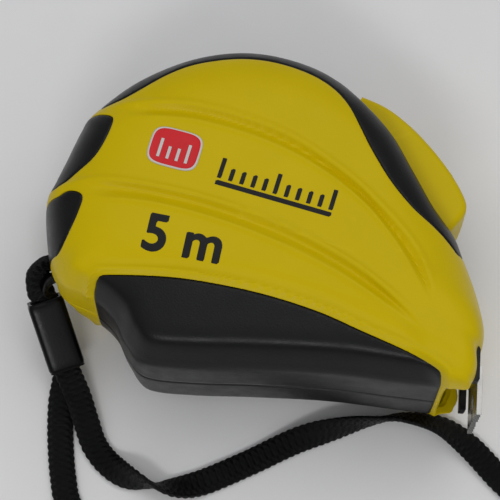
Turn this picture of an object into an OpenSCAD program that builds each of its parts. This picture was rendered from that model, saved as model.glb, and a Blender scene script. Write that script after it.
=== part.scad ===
// Pocket tape measure with a wrist strap, lying on its far side.
// Millimetres. Z runs through the thickness of the case, X along the blade towards the hook,
// and Y towards the top of the case. The origin is on the reel axis, at the resting face.

/* [Case] */
// thickness over both halves
case_t = 36; // [32:0.5:42]
// wall at the sides
wall = 2.9; // [2:0.1:4]
// thickness of the rubber over the shell
rubber_t = 1.3; // [0.8:0.1:2]
// depth of the two sweeping grooves in each face
groove_depth = 0.6; // [0:0.1:1]

/* [Blade and reel] */
// width of the blade
blade_w = 19; // [13:1:25]
// thickness of the coated blade
blade_t = 0.2; // [0.15:0.05:0.3]
// radius of the blade's cross curve
blade_curve_r = 29; // [20:1:40]
// outside radius of the wound blade
coil_r = 20.8; // [18:0.1:21]
// outside radius of the reel's hub
hub_r = 12; // [9:0.5:14]
// radius of the reel's flanges
flange_r = 21.3; // [20:0.1:21.5]
// radius of the centre post
post_r = 3.5; // [3:0.1:5]
// turns of the power spring
spring_turns = 6; // [4:1:9]

/* [Hook] */
// width of the end hook across the blade
hook_w = 15; // [12:0.5:18]
// thickness of the hook plate, which is also its free play
hook_t = 0.9; // [0.6:0.1:1.2]
// how far the hook plate reaches below the blade
hook_drop = 8.8; // [6:0.1:12]

/* [Lock] */
// width of the lock button
button_w = 16; // [12:0.5:18]
// travel of the lock button, degrees round the reel axis
lock_turn = 7.5; // [4:0.5:9]

/* [Strap] */
// width of the flat braided strap
strap_w = 5; // [4:0.5:8]
// thickness of the strap
strap_t = 1.3; // [1:0.1:2]
// length of the plastic sleeve
sleeve_l = 13.8; // [10:0.2:18]

/* [Hidden] */
$fn = 48;
seam = case_t / 2;
half_blade = blade_w / 2;
blade_y = -21.2;
curve_y = blade_y + blade_curve_r;

// corners of the case outline at the seam, anticlockwise from the front
case_keys = [
  [42.6, -24.8], [43.4, -20], [44.7, -14], [43.2, -8.2], [40.8, -2.2], [38.6, 3.2],
  [35, 9.4], [30.8, 16], [26.3, 22.5], [19.8, 28.6], [11, 33.8], [0, 35.9],
  [-11, 34], [-21.4, 28.6], [-29.2, 21.4], [-31.2, 17.8], [-33.2, 12.2], [-34.8, 7.8],
  [-36, 4], [-35.4, -2], [-33.8, -8.4], [-30.8, -12.2], [-25.6, -14.4], [-21.6, -17.8],
  [-19, -22.2], [-15.4, -25.5], [-7, -26], [4, -25.6], [18, -25.4], [31, -26.1], [41.2, -26.5]
];

// height from the seam and inset from the outline, for each ring of a case half
ring_rise = [0, 9, 12, 14.2, 16, 17.2, 18];
ring_inset = [0, 0.8, 2, 3.8, 6.4, 9.6, 14];

function curve_at(a, b, c, d, t) =
  0.5 * (2 * b + (c - a) * t + (2 * a - 5 * b + 4 * c - d) * t * t
  + (3 * b - a - 3 * c + d) * t * t * t);

// smooth closed loop through the corners
function loop_of(p, k) = [
  for (i = [0 : len(p) - 1])
    for (j = [0 : k - 1])
      curve_at(p[(i + len(p) - 1) % len(p)], p[i], p[(i + 1) % len(p)], p[(i + 2) % len(p)], j / k)
];

// smooth open line through the points
function line_of(p, k) = [
  for (i = [0 : len(p) - 2])
    for (j = [0 : i == len(p) - 2 ? k : k - 1])
      curve_at(p[max(i - 1, 0)], p[i], p[i + 1], p[min(i + 2, len(p) - 1)], j / k)
];

// point on the spine of the case that an outline point is drawn in towards
function spine(p) = [min(20, max(0, p[0])), -min(20, max(0, p[0])) * 0.25];

function drawn_in(p, d) = p + (spine(p) - p) * d / norm(spine(p) - p);

case_loop = loop_of(case_keys, 3);
loop_n = len(case_loop);

function case_ring(d) = [for (p = case_loop) drawn_in(p, d)];

// regions that the rubber covers, seen from above
grip_region = concat(
  line_of([[-25.1, -14.4], [-24.9, -12.8], [-23.4, -11.8], [-11, -11.7], [2.5, -13.2], [14, -15.9],
    [22.4, -19], [30.5, -22.1], [35.2, -24.5], [36.9, -26], [37.3, -27.6]], 2),
  [[37, -34], [-26.5, -34], [-25.6, -18]]
);
dome_region = concat(
  line_of([[38.6, -2.3], [37.2, -0.9], [34.3, 1.5], [30, 4.7], [25.8, 9.2], [22.4, 14.4],
    [20.2, 18.6], [17.9, 23.2], [15, 26.7], [10.7, 29.4], [4.7, 31.3], [-0.6, 31.8], [-5.5, 31.3], [-11.2, 29.9], [-15.6, 27.6],
    [-20.1, 24.3], [-23.4, 22.3], [-26.8, 21.2]], 2),
  [[-31, 25], [-20, 42], [30, 42], [50, 4], [43, -2.2]]
);
rear_upper_region = concat(
  line_of([[-33.6, 4.9], [-32.2, 5.6], [-30.2, 7.2], [-26.9, 10.4], [-24.8, 15], [-24.4, 18.2],
    [-26.6, 19.4]], 2),
  [[-31, 20.4], [-42, 22], [-44, 6.2]]
);
rear_lower_region = concat(
  line_of([[-32.4, -7.4], [-31.6, -6.6], [-30.3, -4], [-28.8, -0.2], [-28.4, 2.7], [-31, 3.9],
    [-33.2, 3.2]], 2),
  [[-44, 3.2], [-44, -5.6]]
);

// sweeping grooves in the faces
upper_groove = concat(
  line_of([[-22, 21.3], [-13.6, 21.1], [-2.1, 19.1], [10.1, 15], [17.7, 10.5], [24.2, 5.1],
    [30.2, -1.8], [34.1, -10.9], [35, -15.4]], 2),
  line_of([[34.6, -15.2], [30, -7], [22, 2.1], [13.2, 11.6], [0.5, 16.5], [-11, 18.6],
    [-21.5, 19]], 2)
);
lower_groove = concat(
  line_of([[-28, 5.3], [-21.2, 4.9], [-9.3, 4.1], [2.7, 0.9], [14.7, -3.7], [22.6, -8.5],
    [30.4, -15.5], [34.1, -20]], 2),
  line_of([[33.8, -20.1], [29.6, -16.6], [19.7, -9.9], [8.9, -3.9], [-3.1, 0.4], [-17.4, 2.7],
    [-27, 3.2]], 2)
);

// case screws
screw_at = [[-25, 5.5], [-16, 23.5], [11, 25.5], [37.2, -8.8], [-22.6, -8.9]];
lanyard_at = [-30.6, -6.2];

// the sleeve's middle line, from its upper end to its lower end
sleeve_top = [-36, -10.1, 11];
sleeve_dir = [0.354, -0.809, -0.469];
sleeve_side = [0.916, 0.401, 0];
sleeve_up = [0.188, -0.43, 0.883];

// strap through the eye: x, y, z and roll in degrees
eye_route = [
  [-31.4, -20.3, 5.4, 0], [-33.5, -15.6, 8.2, 0], [-35.8, -10.6, 11.5, 0], [-37, -8.9, 13.2, 25],
  [-37.3, -6.8, 15.2, 55], [-35.6, -5, 17.2, 80], [-33, -4.35, 18, 90], [-30.6, -4.35, 18, 90],
  [-29.1, -5.1, 18, 90], [-28.7, -6.2, 18, 90], [-29.1, -7.3, 18, 90], [-30.6, -8.05, 18, 90],
  [-33, -8.05, 17.6, 80], [-35.6, -8.4, 14.6, 10], [-36.4, -9, 12.2, -15], [-36.1, -9.7, 10.4, 0],
  [-33.9, -14.9, 7, 0], [-31.6, -20, 4.1, 0]
];
// wrist strap from the sleeve, round the loop and back to the sleeve
wrist_route = [
  [-31.2, -21.2, 3.7, 0], [-31.7, -23.8, 2.1, 0], [-32, -26.8, 0.9, 0], [-31.8, -31, 0.7, 0],
  [-31.2, -36, 0.7, 0], [-30.2, -41.5, 0.7, 0], [-28.6, -46.5, 0.7, 0], [-23.5, -54, 0.7, 0],
  [-14, -59.5, 0.7, 0], [0, -62.5, 0.7, 0], [18, -63.5, 0.7, 0], [36, -62, 0.7, 0],
  [50, -57, 0.7, 0], [58, -49, 0.7, 0], [56, -41, 0.7, 0], [50.5, -35.7, 0.7, 0],
  [44.5, -30, 0.7, 10], [39, -26.8, 1.4, 35], [32.5, -25.9, 2.2, 60], [27.6, -26.7, 2.6, 85],
  [21.5, -28.3, 2.2, 120], [13, -31.2, 0.9, 165], [4.2, -36, 0.7, 180], [-3.9, -40.2, 0.7, 180],
  [-9.5, -42, 1.8, 215], [-14, -41.8, 2.6, 270], [-18.6, -40.4, 1.8, 325], [-22.2, -38, 0.9, 355],
  [-25, -34.8, 1, 360], [-26.9, -30.6, 2.1, 360], [-28.7, -26.2, 3, 360], [-31, -21.9, 5.1, 360]
];

// ---- shared shapes ----

// rounded half of the case, standing on the seam; drawn in by extra, and lowered by sink
module half_form(extra, sink) {
  n = loop_n;
  m = len(ring_rise);
  points = concat(
    [[8, -2, 0]],
    [for (k = [0 : m - 1]) for (p = case_ring(ring_inset[k] + extra))
      [p[0], p[1], ring_rise[k] * (1 - sink / 18)]],
    [[8, -2, 18 - sink]]
  );
  faces = concat(
    [for (i = [0 : n - 1]) [0, 1 + i, 1 + (i + 1) % n]],
    [for (k = [0 : m - 2]) for (i = [0 : n - 1])
      [1 + k * n + i, 1 + (k + 1) * n + i, 1 + (k + 1) * n + (i + 1) % n]],
    [for (k = [0 : m - 2]) for (i = [0 : n - 1])
      [1 + k * n + i, 1 + (k + 1) * n + (i + 1) % n, 1 + k * n + (i + 1) % n]],
    [for (i = [0 : n - 1]) [1 + m * n, 1 + (m - 1) * n + (i + 1) % n, 1 + (m - 1) * n + i]]
  );
  scale([1, 1, seam / 18]) polyhedron(points, faces);
}

// all the rubber regions together, standing through the half
module rubber_regions() {
  linear_extrude(height = 60, center = true) polygon(grip_region);
  linear_extrude(height = 60, center = true) polygon(dome_region);
  linear_extrude(height = 60, center = true) polygon(rear_upper_region);
  linear_extrude(height = 60, center = true) polygon(rear_lower_region);
}

// one rubber pad of the upper half
module pad_form(region) {
  difference() {
    intersection() {
      half_form(0, 0);
      linear_extrude(height = 60, center = true) polygon(region);
    }
    half_form(rubber_t, rubber_t);
    openings_form();
  }
}

// slot for the lock button, the eye window, the mouth and the pocket of the mouth bumper
module openings_form() {
  lock_slot();
  translate([-44, -9.4, -3.4]) cube([14.5, 6.8, 6.8]);
  translate([31, -23.4, -half_blade - 0.5]) cube([16, 4.1, blade_w + 1]);
  translate([40, -40, -half_blade - 0.5]) cube([8, 20.7, blade_w + 1]);
  translate([41.6, -25.3, half_blade]) cube([6, 5.4, 3.1]);
}

module lock_slot() {
  intersection() {
    difference() {
      translate([0, 0, -button_w / 2 - 0.3]) cylinder(r = 60, h = button_w + 0.6);
      translate([0, 0, -20]) cylinder(r = 30, h = 40);
    }
    linear_extrude(height = 60, center = true)
      polygon([[0, 0], [80, -4], [80, 60], [49, 80]]);
  }
}

// hollow of one half, above the seam
module hollow_form() {
  translate([0, 0, -1]) linear_extrude(height = 12.5) polygon(case_ring(wall));
  translate([0, 0, 11]) linear_extrude(height = 3.4) polygon(case_ring(wall + 3.2));
  translate([0, 0, 14]) linear_extrude(height = 1.8) polygon(case_ring(wall + 6.6));
}

// grooves pressed into the face
module groove_cuts() {
  translate([0, 0, seam - groove_depth]) linear_extrude(height = 3) polygon(upper_groove);
  translate([0, 0, seam - groove_depth]) linear_extrude(height = 3) polygon(lower_groove);
}

// screw pillars and the socket of the lanyard bar, kept inside the skin
module pillars() {
  intersection() {
    union() {
      for (p = screw_at) {
        translate([p[0], p[1], 0.1]) cylinder(r = 2.4, h = 16);
      }
      translate([lanyard_at[0], lanyard_at[1], 5]) cylinder(r = 2.2, h = 10);
    }
    half_form(rubber_t + 0.2, rubber_t + 0.2);
  }
}

// shell half without its fixings, seam at zero
module bare_half() {
  difference() {
    union() {
      difference() {
        half_form(0, 0);
        rubber_regions();
      }
      half_form(rubber_t, rubber_t);
    }
    hollow_form();
    openings_form();
    groove_cuts();
  }
}

module place_near() {
  translate([0, 0, seam]) children();
}

module place_far() {
  translate([0, 0, seam]) mirror([0, 0, 1]) children();
}

// ---- case halves ----

module near_shell() {
  color([0.86, 0.72, 0.04]) place_near() difference() {
    union() {
      bare_half();
      pillars();
      // guide ring for the reel cover and the socket of the centre post
      difference() {
        translate([0, 0, 11.8]) cylinder(r = 9.5, h = 4.2);
        translate([0, 0, 11]) cylinder(r = 8, h = 5.2);
      }
      difference() {
        translate([0, 0, 12.4]) cylinder(r = 5.4, h = 3.6);
        translate([0, 0, 12]) cylinder(r = post_r + 0.05, h = 3.3);
      }
    }
    for (p = screw_at) {
      translate([p[0], p[1], -1]) cylinder(r = 1.12, h = 8);
    }
    translate([lanyard_at[0], lanyard_at[1], -1]) cylinder(r = 1.15, h = 11.2);
  }
}

module far_shell() {
  color([0.86, 0.72, 0.04]) place_far() difference() {
    union() {
      bare_half();
      difference() {
        translate([0, 0, 12.2]) cylinder(r = 9.5, h = 3.8);
        translate([0, 0, 11]) cylinder(r = 8, h = 5.2);
      }
      pillars();
    }
    translate([lanyard_at[0], lanyard_at[1], -1]) cylinder(r = 1.15, h = 11.2);
    for (p = screw_at) {
      translate([p[0], p[1], -1]) cylinder(r = 1.3, h = 30);
      translate([p[0], p[1], 12.6]) cylinder(r = 2.05, h = 10);
    }
    translate([0, 0, 10]) cylinder(r = 1.7, h = 20);
    translate([0, 0, 16.9]) cylinder(r = 3, h = 4);
  }
}

// ---- rubber ----

module near_grip_pad() {
  color([0.09, 0.09, 0.09]) place_near() pad_form(grip_region);
}

module far_grip_pad() {
  color([0.09, 0.09, 0.09]) place_far() pad_form(grip_region);
}

module near_dome_strip() {
  color([0.09, 0.09, 0.09]) place_near() pad_form(dome_region);
}

module far_dome_strip() {
  color([0.09, 0.09, 0.09]) place_far() pad_form(dome_region);
}

module near_rear_pad_upper() {
  color([0.09, 0.09, 0.09]) place_near() pad_form(rear_upper_region);
}

module near_rear_pad_lower() {
  color([0.09, 0.09, 0.09]) place_near() pad_form(rear_lower_region);
}

module far_rear_pad_upper() {
  color([0.09, 0.09, 0.09]) place_far() pad_form(rear_upper_region);
}

module far_rear_pad_lower() {
  color([0.09, 0.09, 0.09]) place_far() pad_form(rear_lower_region);
}

// rubber stops beside the mouth, which the hook closes against
module mouth_bumper() {
  color([0.08, 0.08, 0.08]) for (side = [-1, 1]) {
    translate([0, 0, seam + side * (half_blade + 1.75)]) difference() {
      translate([41.7, -25.2, -1.25]) cube([1.5, 5.2, 2.5]);
      // eased upper corner
      translate([43.2, -20, 0]) rotate([0, 0, 45]) cube([0.7, 0.7, 6], center = true);
    }
  }
}

// ---- inside the case ----

// rest under the straight blade, hollowed to its cross curve
module blade_guide() {
  color([0.2, 0.2, 0.21]) difference() {
    translate([12, -22.1, seam - half_blade]) cube([18.5, 2.6, blade_w]);
    translate([10, curve_y, seam]) rotate([0, 90, 0])
      cylinder(r = blade_curve_r + 0.3, h = 24, $fn = 96);
    // lead-in at the reel side
    translate([12, -19.4, seam]) rotate([0, 0, 35]) cube([2.4, 2.4, 30], center = true);
  }
}

module centre_post() {
  color([0.75, 0.75, 0.76]) difference() {
    union() {
      translate([0, 0, 2.3]) cylinder(r = post_r, h = 30.9);
      translate([0, 0, 2.3]) cylinder(r = 6.5, h = 1.6);
    }
    // slot for the inner end of the spring
    translate([-0.3, 0, 8.4]) cube([0.6, 6, 18.8]);
    translate([0, 0, 1]) cylinder(r = 1.35, h = 8);
  }
}

module post_screw() {
  color([0.55, 0.55, 0.57]) difference() {
    union() {
      translate([0, 0, 0.35]) cylinder(r = 2.7, h = 0.7);
      translate([0, 0, 1]) cylinder(r1 = 1.6, r2 = 1.25, h = 1.25);
      translate([0, 0, 2.2]) cylinder(r = 1.25, h = 6);
    }
    translate([-1.5, -0.3, 0]) cube([3, 0.6, 0.9]);
    translate([-0.3, -1.5, 0]) cube([0.6, 3, 0.9]);
  }
}

module case_screw() {
  difference() {
    union() {
      translate([0, 0, 3.8]) cylinder(r = 1.95, h = 1.5);
      translate([0, 0, 5.2]) cylinder(r = 1.08, h = 17.5);
      translate([0, 0, 22.7]) cylinder(r1 = 1.08, r2 = 0.3, h = 1.2);
    }
    translate([-1.3, -0.25, 3.5]) cube([2.6, 0.5, 1.1]);
    translate([-0.25, -1.3, 3.5]) cube([0.5, 2.6, 1.1]);
  }
}

module case_screws() {
  color([0.55, 0.55, 0.57]) for (p = screw_at) {
    translate([p[0], p[1], 0]) case_screw();
  }
}

module lanyard_bar() {
  color([0.6, 0.6, 0.62]) translate([lanyard_at[0], lanyard_at[1], 0]) union() {
    translate([0, 0, 8.4]) cylinder(r = 1.1, h = 19.2);
    translate([0, 0, 8]) cylinder(r1 = 0.7, r2 = 1.1, h = 0.4);
    translate([0, 0, 27.6]) cylinder(r1 = 1.1, r2 = 0.7, h = 0.4);
  }
}

// flat spiral between the post and the hub
function spiral(r0, r1, turns, steps) = [
  for (i = [0 : steps])
    let (a = 360 * turns * i / steps, r = r0 + (r1 - r0) * i / steps) [r * cos(a), r * sin(a)]
];

function backwards(p) = [for (i = [len(p) - 1 : -1 : 0]) p[i]];

module power_spring() {
  color([0.35, 0.36, 0.4]) translate([0, 0, 9])
    linear_extrude(height = 18)
      polygon(concat(
        spiral(post_r + 0.6, hub_r - 2.1, spring_turns, spring_turns * 18),
        backwards(spiral(post_r + 0.95, hub_r - 1.75, spring_turns, spring_turns * 18))
      ));
}

// hub that carries the wound blade, with the far flange
module reel() {
  color([0.82, 0.82, 0.8]) difference() {
    union() {
      translate([0, 0, 6.5]) cylinder(r = flange_r, h = 1.6);
      translate([0, 0, 8]) cylinder(r = hub_r, h = 20);
    }
    translate([0, 0, 8.3]) cylinder(r = hub_r - 1.5, h = 24);
    translate([0, 0, 6]) cylinder(r = post_r + 0.06, h = 4);
    for (i = [0 : 5]) {
      rotate([0, 0, 60 * i + 15]) translate([16.5, 0, 6]) cylinder(r = 2.6, h = 4);
    }
  }
}

module reel_cover() {
  color([0.82, 0.82, 0.8]) difference() {
    union() {
      translate([0, 0, 28]) cylinder(r = flange_r, h = 1.4);
      translate([0, 0, 27]) cylinder(r = hub_r - 1.55, h = 1.1);
    }
    translate([0, 0, 26]) cylinder(r = hub_r - 2.8, h = 2);
    translate([0, 0, 25]) cylinder(r = post_r + 0.06, h = 8);
    for (i = [0 : 5]) {
      rotate([0, 0, 60 * i + 15]) translate([16.5, 0, 26]) cylinder(r = 2.6, h = 6);
    }
  }
}

// the wound blade, with the step where its outer end leaves the coil
module tape_coil() {
  color([0.88, 0.78, 0.2]) difference() {
    translate([0, 0, seam - half_blade]) cylinder(r = coil_r, h = blade_w, $fn = 96);
    translate([0, 0, 5]) cylinder(r = hub_r + 0.02, h = 30);
    for (z = [seam - half_blade, seam + half_blade]) {
      for (r = [14, 16, 18]) {
        translate([0, 0, z - 0.15]) difference() {
          cylinder(r = r + 0.15, h = 0.3);
          translate([0, 0, -1]) cylinder(r = r, h = 3);
        }
      }
    }
  }
}

// straight stretch of blade from the coil to the hook
module blade_arc(r_in, thick, width, x0, x1) {
  intersection() {
    translate([x0, curve_y, seam]) rotate([0, 90, 0]) difference() {
      cylinder(r = r_in + thick, h = x1 - x0, $fn = 96);
      translate([0, 0, -1]) cylinder(r = r_in, h = x1 - x0 + 2, $fn = 96);
    }
    translate([x0 - 1, curve_y - 40, seam - width / 2]) cube([x1 - x0 + 2, 30, width]);
  }
}

module rivet_holes(r, slot) {
  for (p = rivet_at) {
    translate([p[0], curve_y, seam]) rotate([asin(p[1] / blade_curve_r), 0, 0])
      translate([0, -blade_curve_r + 4, 0]) rotate([90, 0, 0]) {
        cylinder(r = r, h = 8);
        translate([-slot, 0, 0]) cylinder(r = r, h = 8);
        translate([-slot, -r, 0]) cube([slot, 2 * r, 8]);
      }
  }
}

rivet_at = [[34.8, 0], [39.2, -4.4], [39.2, 4.4]];

module tape_blade() {
  color([0.88, 0.78, 0.2]) difference() {
    blade_arc(blade_curve_r - blade_t / 2, blade_t, blade_w, 8, 43.1);
    rivet_holes(0.86, 0.01);
    // clipped corners at the front end
    translate([43.4, curve_y - 32, seam - half_blade - 0.2]) rotate([0, 45, 0])
      cube([2.4, 8, 2.4], center = true);
    translate([43.4, curve_y - 32, seam + half_blade + 0.2]) rotate([0, 45, 0])
      cube([2.4, 8, 2.4], center = true);
  }
}

module hook_rivets() {
  color([0.7, 0.7, 0.72]) for (p = rivet_at) {
    translate([p[0], curve_y, seam]) rotate([asin(p[1] / blade_curve_r), 0, 0])
      translate([0, -blade_curve_r, 0]) rotate([90, 0, 0]) {
        translate([0, 0, -0.55]) cylinder(r1 = 1.1, r2 = 1.5, h = 0.4);
        translate([0, 0, -0.2]) cylinder(r = 0.8, h = 1.5);
        translate([0, 0, 1.15]) cylinder(r1 = 1.5, r2 = 1, h = 0.5);
      }
  }
}

// steel hook: a tongue under the blade and a toothed plate
module end_hook() {
  tooth = hook_w / 8;
  color([0.8, 0.8, 0.82]) union() {
    difference() {
      blade_arc(blade_curve_r + 0.15, hook_t, hook_w - 2, 32.4, 44.3);
      rivet_holes(0.9, hook_t);
    }
    difference() {
      translate([43.4, 0, 0]) rotate([90, 0, 90]) linear_extrude(height = hook_t) polygon(concat(
        [for (i = [0 : 7]) each [
          [blade_y - hook_drop, seam - hook_w / 2 + tooth * i],
          [blade_y - hook_drop + 0.9, seam - hook_w / 2 + tooth * (i + 0.5)]
        ]],
        [[blade_y - hook_drop, seam + hook_w / 2]],
        [for (i = [0 : 8])
          [blade_y - 0.6 + 1.9 * sin(180 * i / 8), seam + hook_w / 2 * cos(180 * i / 8)]]
      ));
      // nail slot
      translate([42, blade_y - 5.2, seam]) rotate([0, 90, 0]) cylinder(r = 1.7, h = 4);
      translate([42, blade_y - hook_drop - 1, seam - 0.6]) cube([4, hook_drop - 4.2, 1.2]);
    }
  }
}

// thumb button with the runner inside the case and the leg that carries the shoe
module lock_button() {
  outer = line_of([[20.6, 28.9], [25.2, 27], [29.7, 23.7], [33.7, 19.7], [37.1, 15.5], [39.2, 12.2],
    [40.3, 9.9], [40.6, 8.3], [40.1, 6.9], [39, 5.7], [37.6, 4.8]], 3);
  inner = [for (i = [0 : 12]) let (a = 7 + 48 * i / 12) [31 * cos(a), 31 * sin(a)]];
  core = [for (i = [0 : 12]) let (a = 11 + 40 * i / 12) [35.2 * cos(a), 35.2 * sin(a)]];
  color([0.86, 0.72, 0.04]) difference() {
    union() {
      translate([0, 0, seam - button_w / 2]) linear_extrude(height = button_w)
        polygon(concat(outer, inner));
      // runner against the inside of the wall
      intersection() {
        translate([0, 0, seam - button_w / 2 - 1.6]) difference() {
          cylinder(r = 31.2, h = button_w + 3.2);
          translate([0, 0, -1]) cylinder(r = 29.4, h = button_w + 6);
        }
        linear_extrude(height = 60) polygon([[0, 0], [60, -4], [60, 60], [46.9, 60]]);
      }
      translate([0, 0, seam - 5]) linear_extrude(height = 10)
        polygon([[30.4, 4.2], [33.2, 6.6], [33.8, 2], [34, -14.5], [31.4, -14.5], [30.4, -6]]);
    }
    // hollow under the thumb pad, open to the inside
    translate([0, 0, seam - button_w / 2 + 1.8]) linear_extrude(height = button_w - 3.6)
      polygon(concat(
        [for (i = [0 : 12]) let (a = 12 + 38 * i / 12) [35.4 * cos(a), 35.4 * sin(a)]],
        [for (i = [12 : -1 : 0]) let (a = 12 + 38 * i / 12) [29 * cos(a), 29 * sin(a)]]
      ));
    // grip lines on the thumb face
    for (a = [16, 19.5, 23, 26.5]) {
      rotate([0, 0, a]) translate([42.3, 0, seam]) cylinder(r = 0.7, h = button_w + 2, center = true);
    }
  }
}

module lock_shoe() {
  color([0.12, 0.12, 0.12]) translate([0, 0, seam - 4]) linear_extrude(height = 8)
    polygon([[31.4, -14.5], [34, -14.5], [34.2, -16.3], [33.8, -16.48], [31.9, -16.72],
      [31.4, -16.6]]);
}

// ---- strap ----

function unit(v) = v / norm(v);

function flat_side(t) = unit([-t[1], t[0], 0]);

// one ring of the strap: eight points round a flat rounded section
function strap_ring(c, t, roll) =
  let (s0 = flat_side(t), n0 = cross(t, s0),
    s = s0 * cos(roll) + n0 * sin(roll), n = n0 * cos(roll) - s0 * sin(roll))
  [for (q = [[-1, 0], [-0.86, -0.72], [0, -1], [0.86, -0.72], [1, 0], [0.86, 0.72], [0, 1],
    [-0.86, 0.72]]) c + s * q[0] * strap_w / 2 + n * q[1] * strap_t / 2];

// flat strap along a route of x, y, z and roll
module strap_form(route, k) {
  line = line_of(route, k);
  m = len(line);
  // a rolled stretch lies on its edge, so its middle stands higher
  at = [for (p = line)
    [p[0], p[1], max(p[2], (abs(sin(p[3])) * strap_w + abs(cos(p[3])) * strap_t) / 2 + 0.03)]];
  points = concat(
    [at[0]],
    [for (i = [0 : m - 1])
      each strap_ring(at[i], unit(at[min(i + 1, m - 1)] - at[max(i - 1, 0)]), line[i][3])],
    [at[m - 1]]
  );
  faces = concat(
    [for (j = [0 : 7]) [0, 1 + (j + 1) % 8, 1 + j]],
    [for (i = [0 : m - 2]) for (j = [0 : 7])
      [1 + i * 8 + j, 1 + i * 8 + (j + 1) % 8, 1 + (i + 1) * 8 + (j + 1) % 8]],
    [for (i = [0 : m - 2]) for (j = [0 : 7])
      [1 + i * 8 + j, 1 + (i + 1) * 8 + (j + 1) % 8, 1 + (i + 1) * 8 + j]],
    [for (j = [0 : 7]) [1 + m * 8, 1 + (m - 1) * 8 + j, 1 + (m - 1) * 8 + (j + 1) % 8]]
  );
  polyhedron(points, faces);
}

module strap_eye_loop() {
  color([0.05, 0.05, 0.055]) strap_form(eye_route, 1);
}

module wrist_strap() {
  color([0.05, 0.05, 0.055]) strap_form(wrist_route, 2);
}

module rounded_box(w, t, r) {
  offset(r = r) square([w - 2 * r, t - 2 * r], center = true);
}

module strap_sleeve() {
  color([0.1, 0.1, 0.1])
    multmatrix([
      [sleeve_side[0], sleeve_up[0], sleeve_dir[0], sleeve_top[0]],
      [sleeve_side[1], sleeve_up[1], sleeve_dir[1], sleeve_top[1]],
      [sleeve_side[2], sleeve_up[2], sleeve_dir[2], sleeve_top[2]],
      [0, 0, 0, 1]
    ])
    difference() {
      union() {
        translate([0, 0, 0.8]) linear_extrude(height = sleeve_l - 0.8) rounded_box(6.9, 5.1, 1.5);
        linear_extrude(height = 0.8) rounded_box(6.5, 4.7, 1.4);
      }
      translate([0, 0, -1]) linear_extrude(height = sleeve_l + 2) rounded_box(6, 4.2, 1);
    }
}

// ---- markings ----

module face_badge() {
  color([0.75, 0.06, 0.07]) translate([-12.6, 12, case_t]) rotate([0, 0, -12])
    difference() {
      union() {
        linear_extrude(height = 0.2) rounded_box(9.4, 7.4, 1.8);
        translate([0, 0, 0.2]) linear_extrude(height = 0.1) rounded_box(8.4, 6.4, 1.4);
      }
      for (i = [-1.5, -0.5, 0.5, 1.5]) {
        translate([i * 1.7 - 0.25, -2.4, 0.2]) cube([0.5, i == 0.5 || i == -0.5 ? 2.4 : 3.6, 1]);
      }
    }
}

module digit_five() {
  polygon([[0, 0], [3.9, 0], [5, 1], [5, 3.2], [3.9, 4.2], [1.9, 4.2], [1.9, 5.2], [4.9, 5.2],
    [4.9, 6.6], [0.5, 6.6], [0.5, 2.9], [3.4, 2.9], [3.4, 1.4], [0, 1.4]]);
}

module letter_m() {
  polygon([[0, 0], [1.4, 0], [1.4, 3.7], [2.6, 3.7], [2.6, 0], [4, 0], [4, 3.7], [5.2, 3.7],
    [5.2, 0], [6.6, 0], [6.6, 4.2], [5.8, 5], [0, 5]]);
}

module face_print() {
  color([0.04, 0.04, 0.04]) {
    translate([-17.3, -6.9, case_t]) rotate([0, 0, -8]) linear_extrude(height = 0.12) digit_five();
    translate([-10.3, -8.3, case_t]) rotate([0, 0, -8]) linear_extrude(height = 0.12) letter_m();
    translate([-4.6, 7.2, case_t]) rotate([0, 0, -13]) linear_extrude(height = 0.12) {
      for (i = [0 : 10]) {
        translate([2.1 * i, 0]) square([0.8, i % 5 == 0 ? 4.6 : 2.7]);
      }
      translate([0, -1.3]) square([21.8, 0.9]);
    }
  }
}

near_shell();
far_shell();
near_grip_pad();
far_grip_pad();
near_dome_strip();
far_dome_strip();
near_rear_pad_upper();
near_rear_pad_lower();
far_rear_pad_upper();
far_rear_pad_lower();
mouth_bumper();
blade_guide();
centre_post();
post_screw();
case_screws();
lanyard_bar();
power_spring();
reel();
reel_cover();
tape_coil();
tape_blade();
hook_rivets();
end_hook();
lock_button();
lock_shoe();
strap_eye_loop();
wrist_strap();
strap_sleeve();
face_badge();
face_print();
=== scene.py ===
import math

import bpy
import numpy as np
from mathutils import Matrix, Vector
from mathutils.bvhtree import BVHTree


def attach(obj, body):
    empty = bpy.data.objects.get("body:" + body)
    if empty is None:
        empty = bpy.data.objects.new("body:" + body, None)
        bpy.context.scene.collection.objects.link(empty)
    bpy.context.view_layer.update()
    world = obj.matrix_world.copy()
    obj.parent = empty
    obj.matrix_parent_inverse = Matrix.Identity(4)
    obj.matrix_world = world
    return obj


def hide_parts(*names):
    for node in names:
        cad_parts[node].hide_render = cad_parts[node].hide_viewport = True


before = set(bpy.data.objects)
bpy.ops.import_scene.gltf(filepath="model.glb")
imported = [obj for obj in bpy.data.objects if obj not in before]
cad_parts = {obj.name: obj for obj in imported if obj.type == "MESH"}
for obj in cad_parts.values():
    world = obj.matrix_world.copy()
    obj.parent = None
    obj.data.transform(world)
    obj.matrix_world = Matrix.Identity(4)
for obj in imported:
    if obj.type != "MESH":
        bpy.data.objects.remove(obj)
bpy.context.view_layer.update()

MM = 0.001

# ---------------------------------------------------------------- sizes, in millimetres

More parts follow.
